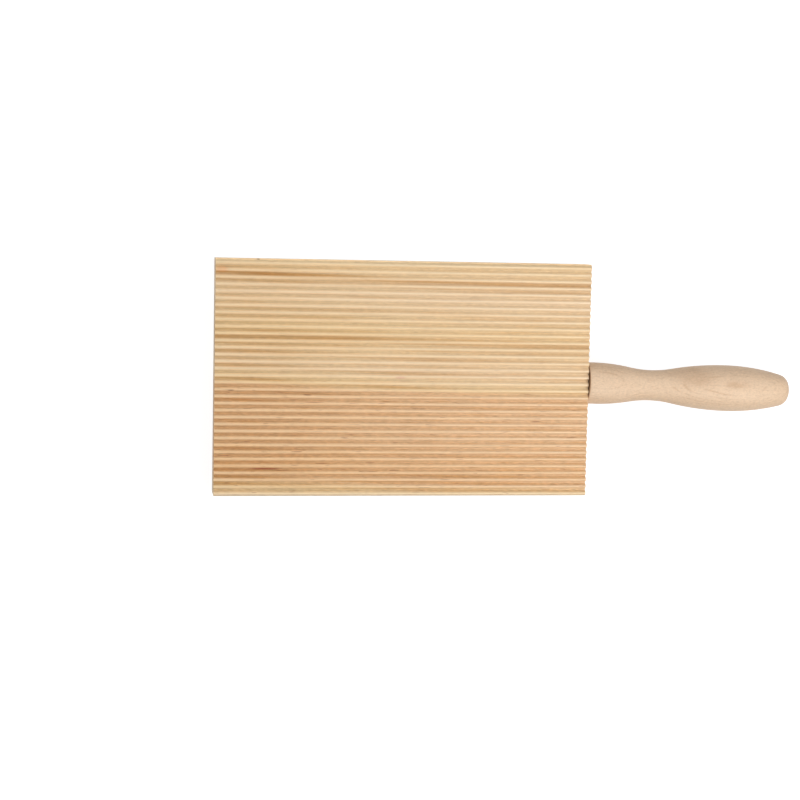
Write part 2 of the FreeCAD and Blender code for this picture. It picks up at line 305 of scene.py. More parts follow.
class Graph:
    """A node tree, written as expressions."""

    def __init__(self, tree: bpy.types.NodeTree) -> None:
        """Takes the tree that nodes are added to."""
        self.tree = tree

    def node(self, kind: str, **settings: object) -> bpy.types.Node:
        """Adds a node.

        Args:
            kind: Blender's name for the node.
            **settings: The node's own settings.

        Returns:
            The node.
        """
        made = self.tree.nodes.new(kind)
        for key, value in settings.items():
            setattr(made, key, value)
        return made

    def feed(self, socket: Socket, value: object) -> None:
        """Links a socket, or sets its value.

        Args:
            socket: The input.
            value: An output socket, or a plain value.
        """
        if isinstance(value, bpy.types.NodeSocket):
            self.tree.links.new(value, socket)
        else:
            socket.default_value = value

    def math(self, operation: str, first: object, second: object = 0.0, third: object = 0.0,
             clamp: bool = False) -> Socket:
        """A sum, product or other figure.

        Args:
            operation: Blender's name for it.
            first: First operand.
            second: Second operand.
            third: Third operand.
            clamp: Keeps the result between 0 and 1.

        Returns:
            The result.
        """
        made = self.node("ShaderNodeMath", operation=operation, use_clamp=clamp)
        for socket, value in zip(made.inputs, (first, second, third)):
            self.feed(socket, value)
        return made.outputs[0]

    def times(self, first: object, *others: object) -> Socket:
        """The product of two values or more.

        Args:
            first: The first value.
            *others: The other ones.

        Returns:
            The product.
        """
        for other in others:
            first = self.math("MULTIPLY", first, other)
        return first

    def scaled(self, value: object, by: object, plus: object, clamp: bool = False) -> Socket:
        """A value times one figure, plus another."""
        return self.math("MULTIPLY_ADD", value, by, plus, clamp)

    def going(self, share: object, first: float, second: float) -> Socket:
        """A figure that goes from one value to a second with a share from 0 to 1."""
        return self.scaled(share, second - first, first)

    def reach(self, first: Socket, second: Socket) -> Socket:
        """Distance from zero of a point with two parts."""
        squares = self.math("ADD", self.times(first, first), self.times(second, second))
        return self.math("SQRT", squares)

    def vector(self, x: object, y: object, z: object) -> Socket:
        """A vector from its three parts.

        Args:
            x: The first part.
            y: The second.
            z: The third.

        Returns:
            The vector.
        """
        made = self.node("ShaderNodeCombineXYZ")
        for socket, value in zip(made.inputs, (x, y, z)):
            self.feed(socket, value)
        return made.outputs[0]

    def figure(self, figure: Figure, along: object, across: object, depth: object) -> Socket:
        """Soft noise from 0 to 1 round 0.5, run out along the grain.

        Args:
            figure: The noise.
            along: Place along the grain, in metres.
            across: Place across it.
            depth: Place through it.

        Returns:
            The noise at that place.
        """
        made = self.node("ShaderNodeTexNoise", noise_dimensions="3D")
        parts = [self.times(value, cells)
                 for value, cells in zip((along, across, depth), figure.cells)]
        self.feed(made.inputs["Vector"], self.vector(*parts))
        made.inputs["Scale"].default_value = 1.0
        made.inputs["Detail"].default_value = figure.detail
        made.inputs["Roughness"].default_value = figure.roughness
        return made.outputs["Fac"]

    def between(self, value: object, low: float, high: float, out_low: float = 0.0,
                out_high: float = 1.0) -> Socket:
        """Smooth step between two values.

        Args:
            value: What is read.
            low: Where the step starts.
            high: Where it ends.
            out_low: Result below the step.
            out_high: Result above it.

        Returns:
            The step.
        """
        made = self.node("ShaderNodeMapRange", interpolation_type="SMOOTHSTEP")
        for key, given in (("Value", value), ("From Min", low), ("From Max", high),
                           ("To Min", out_low), ("To Max", out_high)):
            self.feed(made.inputs[key], given)
        return made.outputs["Result"]

    def step(self, value: object, step: Step, unit: float = 1.0) -> Socket:
        """A named smooth step, with its start and end in a unit."""
        return self.between(value, step.start * unit, step.end * unit, step.before, step.after)

    def mix(self, share: object, first: object, second: object, blend: str = "MIX") -> Socket:
        """Two colours mixed.

        Args:
            share: Share of the second.
            first: First colour.
            second: Second colour.
            blend: Blender's name for the way.

        Returns:
            The mixed colour.
        """
        made = self.node("ShaderNodeMix", data_type="RGBA", blend_type=blend)
        self.feed(made.inputs[0], share)
        self.feed(made.inputs[6], first)
        self.feed(made.inputs[7], second)
        return made.outputs[2]

    def tinted(self, share: object, colour: Socket, tint: object) -> Socket:
        """A colour, multiplied by a tint as far as a share goes."""
        return self.mix(share, colour, self.mix(1.0, colour, tint, "MULTIPLY"))

    def ramp(self, value: Socket, stops: Stops) -> Socket:
        """Colour by place along a scale from 0 to 1.

        Args:
            value: Place on the scale.
            stops: Each place and its colour, in order.

        Returns:
            The colour.
        """
        made = self.node("ShaderNodeValToRGB")
        elements = made.color_ramp.elements
        while len(elements) < len(stops):
            elements.new(1.0)
        for element, (place, colour) in zip(elements, stops):
            element.position = place
            element.color = colour
        self.feed(made.inputs[0], value)
        return made.outputs[0]

    def shade(self, colour: Socket, factor: Socket) -> Socket:
        """A colour made lighter or darker by a factor round 1."""
        grey = self.vector(factor, factor, factor)
        return self.mix(1.0, colour, grey, "MULTIPLY")

    def seen_directly(self) -> Socket:
        """Tells the camera's own rays from those that only light the object.

        Returns:
            1 for a ray from the camera, or one mirrored or passed on to it, and 0 for others.
        """
        path = self.node("ShaderNodeLightPath")
        seen = self.math("MAXIMUM", path.outputs["Is Camera Ray"], path.outputs["Is Glossy Ray"])
        return self.math("MAXIMUM", seen, path.outputs["Is Transmission Ray"])


class FinishGraph(Graph):
    """The node tree of one material, round its surface shader."""

    def __init__(self, label: str) -> None:
        """Starts a material with a plain surface shader.

        Args:
            label: The material's name.
        """
        self.material = bpy.data.materials.new(label)
        self.material.use_nodes = True
        super().__init__(self.material.node_tree)
        self.shader = self.tree.nodes["Principled BSDF"]
        self.output = self.tree.nodes["Material Output"]

    def bump(self, height: Socket, depth: float, strength: float) -> None:
        """Roughens the surface.

        Args:
            height: Relief from 0 to 1.
            depth: What 1 stands for, in metres.
            strength: Share of the effect.
        """
        made = self.node("ShaderNodeBump")
        made.inputs["Strength"].default_value = strength
        made.inputs["Distance"].default_value = depth
        self.feed(made.inputs["Height"], height)
        self.feed(self.shader.inputs["Normal"], made.outputs[0])

    def surface(self, colour: Socket, roughness: Socket, sheen: float) -> None:
        """Gives the surface its colour and its shine.

        Args:
            colour: The colour.
            roughness: From 0, mirror-like, to 1.
            sheen: Strength of the reflections.
        """
        self.feed(self.shader.inputs["Base Color"], colour)
        self.feed(self.shader.inputs["Roughness"], roughness)
        self.shader.inputs["Specular IOR Level"].default_value = sheen

    def fleck(self, fleck: Fleck, x: Socket, y: Socket) -> Socket:
        """A stain's share of the colour at a place.

        Args:
            fleck: The stain.
            x: Place along the piece.
            y: Place across it.

        Returns:
            The share.
        """
        run = self.scaled(x, 2 / (fleck.length * MM), -2 * fleck.x / fleck.length)
        rise = self.scaled(y, 2 / (fleck.width * MM), -2 * fleck.y / fleck.width)
        return self.between(self.reach(run, rise), *fleck.fade, fleck.strength, 0.0)

    def place(self, origin: Place = (0.0, 0.0, 0.0),
              turn: float = 0.0) -> tuple[Socket, Socket, Socket]:
        """The point's own place on the object, seen from an origin and turned about Z.

        Args:
            origin: What counts as zero, in the part's frame.
            turn: Turn of the local X axis about Z, in radians.

        Returns:
            The local x, y and z.
        """
        coordinates = self.node("ShaderNodeTexCoord")
        mapping = self.node("ShaderNodeMapping", vector_type="TEXTURE")
        mapping.inputs["Location"].default_value = origin
        mapping.inputs["Rotation"].default_value = (0.0, 0.0, turn)
        self.feed(mapping.inputs["Vector"], coordinates.outputs["Object"])
        split = self.node("ShaderNodeSeparateXYZ")
        self.feed(split.inputs[0], mapping.outputs[0])
        return split.outputs[0], split.outputs[1], split.outputs[2]


# ---------------------------------------------------------------- finishes


@dataclass(frozen=True)
class GrowthLine:
    """One band of darker late wood in the plank, as it lies at the far end.

    Attributes:
        place: From the +Y edge, in millimetres.
        width: Across the grain, in millimetres.
        strength: Share of the late wood's colour.
    """

    place: float
    width: float
    strength: float

    def levels(self) -> Iterator[Pair]:
        """Places across the band and its strength there: slow to rise, level, quick to fall."""
        for offset, share in ((-0.5, 0.0), (-0.05, 1.0), (0.25, 1.0), (0.5, 0.0)):
            yield self.place + offset * self.width, self.strength * share


@dataclass
class PlankPoint:
    """A shaded point of the plank.

    Attributes:
        graph: The material that reads it.
        board: The plank.
        x: Along the plank.
        y: Across it.
        z: Up through it.
        along: From the far end.
        from_edge: From the +Y edge.
        below: Down from the crests.
        grain: From the +Y edge at the far end, followed along the growth lines.
        scale: The same, from 0 to 1.
        heart: 1 in the heartwood and 0 in the sapwood.
        near: 1 in the half by the handle and 0 in the far half.
        texture: How strongly the fine texture shows.
        streak: Broad noise along the grain.
        fibre: Fine noise along the grain.
    """

    graph: FinishGraph
    board: RidgedBoard
    x: Socket
    y: Socket
    z: Socket
    along: Socket
    from_edge: Socket
    below: Socket
    grain: Socket
    scale: Socket
    heart: Socket
    near: Socket
    texture: Socket
    streak: Socket
    fibre: Socket


@dataclass(frozen=True)
class Softwood:
    """Straight-grained softwood: yellow sapwood either side of a pinkish band of heartwood.

    Places across the plank are in millimetres from the +Y edge, at the far end. Places along it
    are in lengths of the plank, and depths are in depths of a groove. What goes by the wood has
    a value for sapwood and one for heartwood, and a tone has one for each end of its noise.

    Attributes:
        margin: How far the ramps across the plank reach past its edges.
        zones: Broad colour across the plank.
        groove_shade_zones: Painted shade in the grooves: how much darker and warmer they are than
            the crests.
        heart_rows: Where the heartwood starts.
        near_half: Where the half by the handle starts.
        drift: Drift of the growth lines towards -Y along the plank, by their place.
        heart_drift: What the heartwood takes off that drift.
        slackening: Share by which the drift falls off at the handle.
        ring_lean: Lean of the growth rings through the thickness.
        sway: How far the growth lines waver, in metres.
        texture_depth: Strength of the fine texture, from crest to groove.
        late_depth: Strength of the late wood, from crest to groove.
        late_length: The same along the plank.
        late_breaks: The same, broken up along the lines.
        warm_streaks: Late wood's colour in the broad streaks.
        threads: Where the fine fibres are thick enough to show as threads.
        thread_share: Late wood's colour in those. It goes by the wood.
        canal_share: Resin's colour in its canals.
        canal_rows: How much of that shows across the plank.
        stain_depth: Where the stains fade, down into the wood.
        shade_start: Depth at which the grooves' shade starts. It goes by the wood.
        shade_length: Strength of that shade along the plank.
        shade_edge: The same close to the +Y edge, in millimetres.
        near_heart_shade: The same in the heartwood by the handle.
        crest_start: Where the painted highlight on a crest's -Y shoulder starts, in pitches from a
            groove towards -Y.
        crest_end: Where it ends.
        flank_shade_strength: How far all else is tinted darker as painted shade, in the half by the
            handle. It goes by the wood.
        far_shade_length: How far the painted shade at the far end reaches.
        streak_tone: Tone of the wood over the broad noise.
        fibre_tone: The same over the fine noise.
        speck_tone: How much the specks change it. It goes by the wood.
        gloss: Roughness of the surface, from crest to groove.
        fibre_gloss: What the fibres add to it.
        sheen: Strength of the reflections.
        relief_depth: Height of the grain's relief.
        relief_strength: How much of it shows.
        lines_per_ramp: Growth lines that share one colour ramp, which holds 32 stops.
        lines: The growth lines.
        flecks: The stains.
    """

    sapwood: Colour = (247, 220, 176)
    pale_sapwood: Colour = (249, 224, 189)
    heartwood: Colour = (246, 212, 171)
    deep_heartwood: Colour = (243, 206, 161)
    late_wood: Colour = (209, 154, 82)
    resin: Colour = (148, 76, 36)
    # Painted shade in the grooves.
    sapwood_groove_shade: Colour = (220, 217, 208)
    heartwood_groove_shade: Colour = (212, 199, 184)
    # Painted shade on the crests' flanks and the grooves, round a painted highlight.
    flank_shade_tint: Colour = (243, 239, 236)
    # Painted shade at the far end.
    far_end_shade: Colour = (252, 248, 242)

    margin: float = 5.0
    zones: Zones = (
        (-4.0, sapwood), (12.0, pale_sapwood), (25.0, sapwood), (37.0, pale_sapwood),
        (42.8, sapwood), (44.3, heartwood), (62.0, heartwood), (73.0, deep_heartwood),
        (78.5, heartwood), (80.5, sapwood), (85.0, pale_sapwood),
    )
    groove_shade_zones: Zones = (
        (42.0, sapwood_groove_shade), (46.0, heartwood_groove_shade),
        (76.0, heartwood_groove_shade), (80.0, sapwood_groove_shade),
    )
    heart_rows: Step = Step(42.8, 44.8)
    near_half: Step = Step(0.25, 0.72)
    drift: Step = Step(26.0, 42.0, 0.032, 0.053)
    heart_drift: Step = Step(46.0, 58.0, 0.0, 0.013)
    slackening: float = 0.3
    ring_lean: float = 0.36
    sway: float = 2.4 * MM

    wander: Figure = Figure((7.0, 60.0, 60.0))
    streak: Figure = Figure((14.0, 700.0, 600.0), 3.0, 0.6)
    fibre: Figure = Figure((60.0, 2500.0, 2200.0), 2.0, 0.6)
    speck: Figure = Figure((460.0, 2400.0, 2200.0))
    breaks: Figure = Figure((45.0, 500.0, 500.0), 2.0)
    canals: Figure = Figure((170.0, 2600.0, 2600.0))

    texture_depth: Step = Step(0.15, 0.6, 0.35, 1.0)
    late_depth: Step = Step(0.1, 0.7, 0.34, 1.12)
    late_length: Step = Step(0.3, 0.9, 1.0, 0.70)
    late_breaks: Step = Step(0.25, 0.75, 0.78, 1.16)
    warm_streaks: Step = Step(0.54, 0.72, 0.0, 0.22)
    threads: Step = Step(0.54, 0.66)
    thread_share: Pair = (0.22, 0.40)
    canal_share: Step = Step(0.65, 0.74, 0.0, 0.55)
    canal_rows: Step = Step(38.0, 47.0, 0.3, 1.0)
    stain_depth: Step = Step(1.2, 2.4)

    shade_start: Pair = (0.28, 0.06)
    shade_length: Step = Step(0.1, 0.75, 1.0, 0.48)
    shade_edge: Step = Step(0.2, 1.4)
    near_heart_shade: float = 0.65
    crest_start: Step = Step(0.43, 0.55)
    crest_end: Step = Step(0.60, 0.72, 1.0, 0.0)
    flank_shade_strength: Pair = (0.7, 1.5)
    far_shade_length: Step = Step(0.0, 0.7, 1.0, 0.0)

    streak_tone: Pair = (0.90, 1.10)
    fibre_tone: Pair = (0.83, 1.19)
    speck_tone: Pair = (0.40, 0.64)
    gloss: Step = Step(0.05, 0.6, 0.26, 0.44)
    fibre_gloss: float = 0.16
    sheen: float = 0.45
    relief_depth: float = 0.06 * MM
    relief_strength: float = 0.6

    lines_per_ramp: int = 8
    lines: tuple[GrowthLine, ...] = tuple(GrowthLine(*line) for line in (
        (5.0, 2.4, 0.72), (6.4, 1.3, 0.22), (7.7, 1.5, 0.38), (12.0, 1.0, 0.10),
        (17.4, 2.2, 0.18), (20.4, 2.0, 0.14), (25.2, 1.2, 0.24), (27.3, 3.0, 0.52),
        (29.9, 1.2, 0.34), (32.6, 2.0, 0.36), (35.1, 1.2, 0.22), (37.5, 2.0, 0.38),
        (42.5, 1.2, 0.40), (46.2, 1.2, 0.30), (49.8, 1.2, 0.40), (53.4, 0.9, 0.14),
        (57.6, 1.0, 0.18), (62.4, 1.0, 0.16), (67.6, 1.6, 0.30), (75.2, 1.6, 0.50),
        (77.8, 1.6, 0.56), (80.4, 2.0, 0.42),
    ))
    flecks: tuple[Fleck, ...] = (
        Fleck(-66.2, 38.6, 6.0, 3.2, (236, 160, 104), 0.36),
        Fleck(-53.3, 42.3, 1.6, 0.7, (118, 84, 58), 0.60),
        Fleck(-50.0, -32.6, 14.0, 0.9, (176, 84, 54), 0.75),
        Fleck(-1.5, 0.6, 5.0, 1.4, (222, 160, 150), 0.35),
        Fleck(-35.0, -5.9, 4.0, 0.6, (140, 84, 58), 0.60),
        Fleck(-62.5, -4.4, 3.0, 0.7, (134, 84, 58), 0.65),
        Fleck(-33.0, -8.6, 8.0, 0.5, (160, 92, 62), 0.50),
        Fleck(49.0, -15.2, 5.0, 0.6, (150, 102, 76), 0.60),
    )

    def on_scale(self, board: RidgedBoard, place: float) -> float:
        """A place across the plank, in millimetres, as a share of the ramps' scale."""
        return (place + self.margin) / (board.width / MM + 2 * self.margin)

    def across(self, at: PlankPoint, zones: Zones) -> Socket:
        """Colour of a zone across the plank."""
        stops = [(self.on_scale(at.board, place), linear(*colour)) for place, colour in zones]
        return at.graph.ramp(at.scale, stops)

    def growth(self, at: PlankPoint) -> Socket:
        """Share of late wood across the plank. Neighbouring lines go to different ramps.

        Args:
            at: The point.

        Returns:
            The share.
        """
        total: object = 0.0
        ramps = math.ceil(len(self.lines) / self.lines_per_ramp)
        for start in range(ramps):
            stops = [(self.on_scale(at.board, place), (level, level, level, 1.0))
                     for line in self.lines[start::ramps] for place, level in line.levels()]
            total = at.graph.math("ADD", total, at.graph.ramp(at.scale, stops))
        return total

    def locate(self, graph: FinishGraph, board: RidgedBoard) -> PlankPoint:
        """Finds a shaded point's place in the plank and in its grain.

        Args:
            graph: The material.
            board: The plank.

        Returns:
            The point.
        """
        x, y, z = graph.place()
        along = graph.math("ADD", x, board.length / 2)
        from_edge = graph.math("SUBTRACT", board.width / 2, y)
        below = graph.math("SUBTRACT", board.thickness, z)

        slope = graph.math("SUBTRACT", graph.step(from_edge, self.drift, MM),
                           graph.step(from_edge, self.heart_drift, MM))
        run = graph.times(along, graph.scaled(along, -self.slackening / board.length, 1.0))
        grain = graph.math("SUBTRACT", from_edge, graph.times(run, slope))
        grain = graph.scaled(below, self.ring_lean, grain)
        wander = graph.math("SUBTRACT", graph.figure(self.wander, x, y, z), 0.5)
        grain = graph.scaled(wander, self.sway, grain)

        span = board.width + 2 * self.margin * MM
        return PlankPoint(
            graph, board, x, y, z, along, from_edge, below, grain,
            scale=graph.scaled(grain, 1 / span, self.margin * MM / span),
            heart=graph.step(grain, self.heart_rows, MM),
            near=graph.step(along, self.near_half, board.length),
            texture=graph.step(below, self.texture_depth, board.groove_depth),
            streak=graph.figure(self.streak, x, grain, z),
            fibre=graph.figure(self.fibre, x, grain, z))

    def grown(self, at: PlankPoint) -> Socket:
        """Colour of the wood itself: its zones, growth lines, threads, resin and stains.

        Args:
            at: The point.

        Returns:
            The colour.
        """
        graph, groove = at.graph, at.board.groove_depth
        late_wood = linear(*self.late_wood)
        colour = self.across(at, self.zones)
        late = graph.times(self.growth(at), graph.step(at.below, self.late_depth, groove),
                           graph.step(at.along, self.late_length, at.board.length))
        breaks = graph.step(graph.figure(self.breaks, at.x, at.grain, at.z), self.late_breaks)
        colour = graph.mix(graph.math("MULTIPLY", late, breaks, clamp=True), colour, late_wood)

        threads = graph.times(graph.step(at.fibre, self.threads),
                              graph.going(at.heart, *self.thread_share), at.texture)
        warm = graph.step(at.streak, self.warm_streaks)
        colour = graph.mix(graph.math("ADD", warm, threads), colour, late_wood)

        canals = graph.figure(self.canals, at.x, at.grain, at.z)
        resin = graph.times(graph.step(canals, self.canal_share),
                            graph.step(at.grain, self.canal_rows, MM))
        colour = graph.mix(resin, colour, linear(*self.resin))
        stained = colour
        for fleck in self.flecks:
            share = graph.fleck(fleck, at.x, at.y)
            stained = graph.mix(share, stained, linear(*fleck.colour))
        return graph.mix(graph.step(at.below, self.stain_depth, groove), stained, colour)

    def paint_light_and_shade(self, at: PlankPoint, colour: Socket) -> Socket:
        """Paints light and shade: painted shade in the grooves, painted shade round a painted
        highlight on the crests by the handle, and a little painted shade at the far end.

        Args:
            at: The point.
            colour: Colour of the wood itself.

        Returns:
            The colour with its painted light and shade.
        """
        graph, board = at.graph, at.board
        groove = board.groove_depth
        # Painted shade in the grooves: it deepens with depth, is strongest at the far end and fades
        # out at the +Y edge.
        start = graph.going(at.heart, *(depth * groove for depth in self.shade_start))
        shade = graph.times(
            graph.between(at.below, start, groove),
            graph.step(at.along, self.shade_length, board.length),
            graph.going(graph.times(at.near, at.heart), 1.0, self.near_heart_shade),
            graph.step(at.from_edge, self.shade_edge, MM))
        colour = graph.tinted(shade, colour, self.across(at, self.groove_shade_zones))

        # Painted highlight: a band on each crest's -Y shoulder stays bright, and all else in the
        # half by the handle is tinted darker as painted shade.
        phase = graph.math("FRACT", graph.scaled(
            at.from_edge, 1 / board.pitch, -board.first_groove / board.pitch))
        painted_highlight = graph.times(graph.step(phase, self.crest_start), graph.step(phase, self.crest_end))
        flank_shade = graph.times(graph.math("SUBTRACT", 1.0, painted_highlight), at.near,
                             graph.going(at.heart, *self.flank_shade_strength))
        colour = graph.tinted(flank_shade, colour, linear(*self.flank_shade_tint))
        # Painted shade: the far end is tinted a little darker.
        far = graph.step(at.along, self.far_shade_length, board.length)
        return graph.tinted(far, colour, linear(*self.far_end_shade))

    def material(self, board: RidgedBoard) -> bpy.types.Material:
        """Makes the plank's material.

        Args:
            board: The plank.

        Returns:
            The material.
        """
        graph = FinishGraph("ridged_softwood")
        at = self.locate(graph, board)
        colour = self.paint_light_and_shade(at, self.grown(at))

        speck = graph.math("SUBTRACT", graph.figure(self.speck, at.x, at.grain, at.z), 0.5)
        specks = graph.times(graph.going(at.heart, *self.speck_tone), at.texture, speck)
        tone = graph.times(graph.going(at.streak, *self.streak_tone),
                           graph.going(at.fibre, *self.fibre_tone),
                           graph.math("ADD", specks, 1.0))
        gloss = graph.step(at.below, self.gloss, board.groove_depth)
        graph.surface(graph.shade(colour, tone), graph.scaled(at.fibre, self.fibre_gloss, gloss),
                      self.sheen)
        relief = graph.times(graph.math("ADD", at.streak, at.fibre), 0.5)
        graph.bump(relief, self.relief_depth, self.relief_strength)
        return graph.material


@dataclass(frozen=True)
class TurnedHardwood:
    """Pale close-grained hardwood, turned and sanded, dark brown on the face of its foot: partly a
    scorch mark, partly painted shade from the gap to the plank.

    Attributes:
        ring_spacing: Ring to ring.
        ring_lean: Tilt of the rings across the handle.
        ring_sharpness: Power that thins the rings' dark lines.
        ring_patches: Strength of the rings, from patch to patch.
        sway: How far the rings waver.
        cloud_share: Tan that the clouds add.
        ray_share: Colour of the rays.
        fibre_tone: Tone of the wood over its fibres.
        scorch_and_shade_depth: How far the scorch and its painted gap shade run up from the foot,
            in millimetres.
        scorch_and_shade_rim: Where it fades, in from the foot's rim.
        scorch_and_shade_share: Its strength.
        tool_marks: Marks that the turning tool leaves.
        gloss: Roughness of the surface over the fibres.
        sheen: Strength of the reflections.
        fibre_relief: Share of the fibres in the relief.
        mark_relief: Share of the tool's marks in it.
        relief_depth: Height of the relief.
        relief_strength: How much of it shows.
    """

    pale: Colour = (234, 206, 176)
    tan: Colour = (212, 178, 145)
    ray: Colour = (188, 150, 116)
    # Partly a scorch mark, partly painted shade in the gap to the plank.
    scorch_and_gap_shade: Colour = (118, 70, 20)

    ring_spacing: float = 0.85 * MM
    ring_lean: float = 0.22
    ring_sharpness: float = 5.0
    ring_patches: Step = Step(0.42, 0.66, 0.08, 0.60)
    sway: float = 1.4 * MM

    waver: Figure = Figure((28.0, 70.0, 70.0), 2.0)
    patch: Figure = Figure((90.0, 260.0, 260.0), 2.0)
    cloud: Figure = Figure((40.0, 160.0, 160.0), 3.0)
    fibre: Figure = Figure((1150.0, 1700.0, 1700.0), 3.0, 0.6)
    rays: Figure = Figure((700.0, 2600.0, 1500.0))
    tool_marks: Figure = Figure((2400.0, 0.0, 0.0))

    cloud_share: float = 0.62
    ray_share: Step = Step(0.54, 0.72, 0.0, 0.24)
    stain: Fleck = Fleck(39.0, 4.0, 18.0, 9.0, (188, 150, 116), 0.75, (0.2, 1.2))
    fibre_tone: Pair = (0.805, 1.205)
    scorch_and_shade_depth: Step = Step(0.02, 0.3, 1.0, 0.0)
    scorch_and_shade_rim: Pair = (1.1 * MM, 0.4 * MM)
    scorch_and_shade_share: float = 0.7
    gloss: Pair = (0.42, 0.62)
    sheen: float = 0.35
    fibre_relief: float = 0.7
    mark_relief: float = 0.3
    relief_depth: float = 0.03 * MM
    relief_strength: float = 0.5

    def rings(self, graph: FinishGraph, x: Socket, y: Socket, z: Socket) -> Socket:
        """Share of the growth rings' colour, in patches.

        Args:
            graph: The material.
            x: Place along the handle.
            y: Place across it.
            z: Place up through it.

        Returns:
            The share.
        """
        layer = graph.scaled(y, self.ring_lean, z)
        layer = graph.scaled(graph.figure(self.waver, x, y, z), self.sway, layer)
        turn = graph.times(layer, 2 * math.pi / self.ring_spacing)
        ring = graph.scaled(graph.math("SINE", turn), 0.5, 0.5)
        ring = graph.math("POWER", ring, self.ring_sharpness)
        patch = graph.figure(self.patch, x, y, z)
        return graph.times(ring, graph.step(patch, self.ring_patches))

    def material(self, pivot: Place, lean: float, foot_radius: float) -> bpy.types.Material:
        """Makes the handle's material.

        Args:
            pivot: Middle of the handle's foot, in the part's frame.
            lean: Turn of the handle's axis about Z, in radians.
            foot_radius: Radius of the foot.

        Returns:
            The material.
        """
        graph = FinishGraph("turned_hardwood")
        x, y, z = graph.place(pivot, lean)
        cloud = graph.figure(self.cloud, x, y, z)
        fibre = graph.figure(self.fibre, x, y, z)
        share = graph.scaled(cloud, self.cloud_share, self.rings(graph, x, y, z), clamp=True)
        colour = graph.mix(share, linear(*self.pale), linear(*self.tan))
        share = graph.times(graph.fleck(self.stain, x, y), cloud)
        colour = graph.mix(share, colour, linear(*self.stain.colour))
        share = graph.step(graph.figure(self.rays, x, y, z), self.ray_share)
        colour = graph.mix(share, colour, linear(*self.ray))
        colour = graph.shade(colour, graph.going(fibre, *self.fibre_tone))

        # Dark brown on the foot's face: partly a scorch mark, partly painted shade in the gap to
        # the plank's end.
        full, none = (foot_radius - inset for inset in self.scorch_and_shade_rim)
        scorch_and_gap_shade = graph.times(graph.step(x, self.scorch_and_shade_depth, MM),
                             graph.between(graph.reach(y, z), full, none, self.scorch_and_shade_share, 0.0))
        colour = graph.mix(scorch_and_gap_shade, colour, linear(*self.scorch_and_gap_shade))

        graph.surface(colour, graph.going(fibre, *self.gloss), self.sheen)
        marks = graph.figure(self.tool_marks, x, y, z)
        relief = graph.scaled(marks, self.mark_relief, graph.times(fibre, self.fibre_relief))
        graph.bump(relief, self.relief_depth, self.relief_strength)
        return graph.material


@dataclass(frozen=True)
class DowelWood:
    """Milled hardwood rod, darker along its fibres and at its pores.
        gloss: Roughness of the surface over the fibres.
        sheen: Strength of the reflections.
        relief_depth: Height of the fibres' relief.
        relief_strength: How much of it shows.
    """

    wood: Colour = (206, 168, 126)
    dark: Colour = (170, 128, 88)
    fibre: Figure = Figure((180.0, 3200.0, 3200.0), 3.0, 0.6)
    pores: Figure = Figure((420.0, 5200.0, 5200.0))
    pore_tone: Step = Step(0.6, 0.75, 1.0, 0.7)
    gloss: Pair = (0.5, 0.7)
    sheen: float = 0.5
    relief_depth: float = 0.03 * MM
    relief_strength: float = 0.6

    def material(self, pivot: Place, lean: float) -> bpy.types.Material:
        """Makes the dowel's material.

        Args:
            pivot: A point on the dowel's axis.
            lean: Turn of that axis about Z, in radians.

        Returns:
            The material.
        """
        graph = FinishGraph("dowel_hardwood")
        x, y, z = graph.place(pivot, lean)
        fibre = graph.figure(self.fibre, x, y, z)
        pores = graph.figure(self.pores, x, y, z)
        colour = graph.mix(fibre, linear(*self.wood), linear(*self.dark))
        colour = graph.shade(colour, graph.step(pores, self.pore_tone))
        graph.surface(colour, graph.going(fibre, *self.gloss), self.sheen)
        graph.bump(fibre, self.relief_depth, self.relief_strength)
        return graph.material


# ---------------------------------------------------------------- ridged board


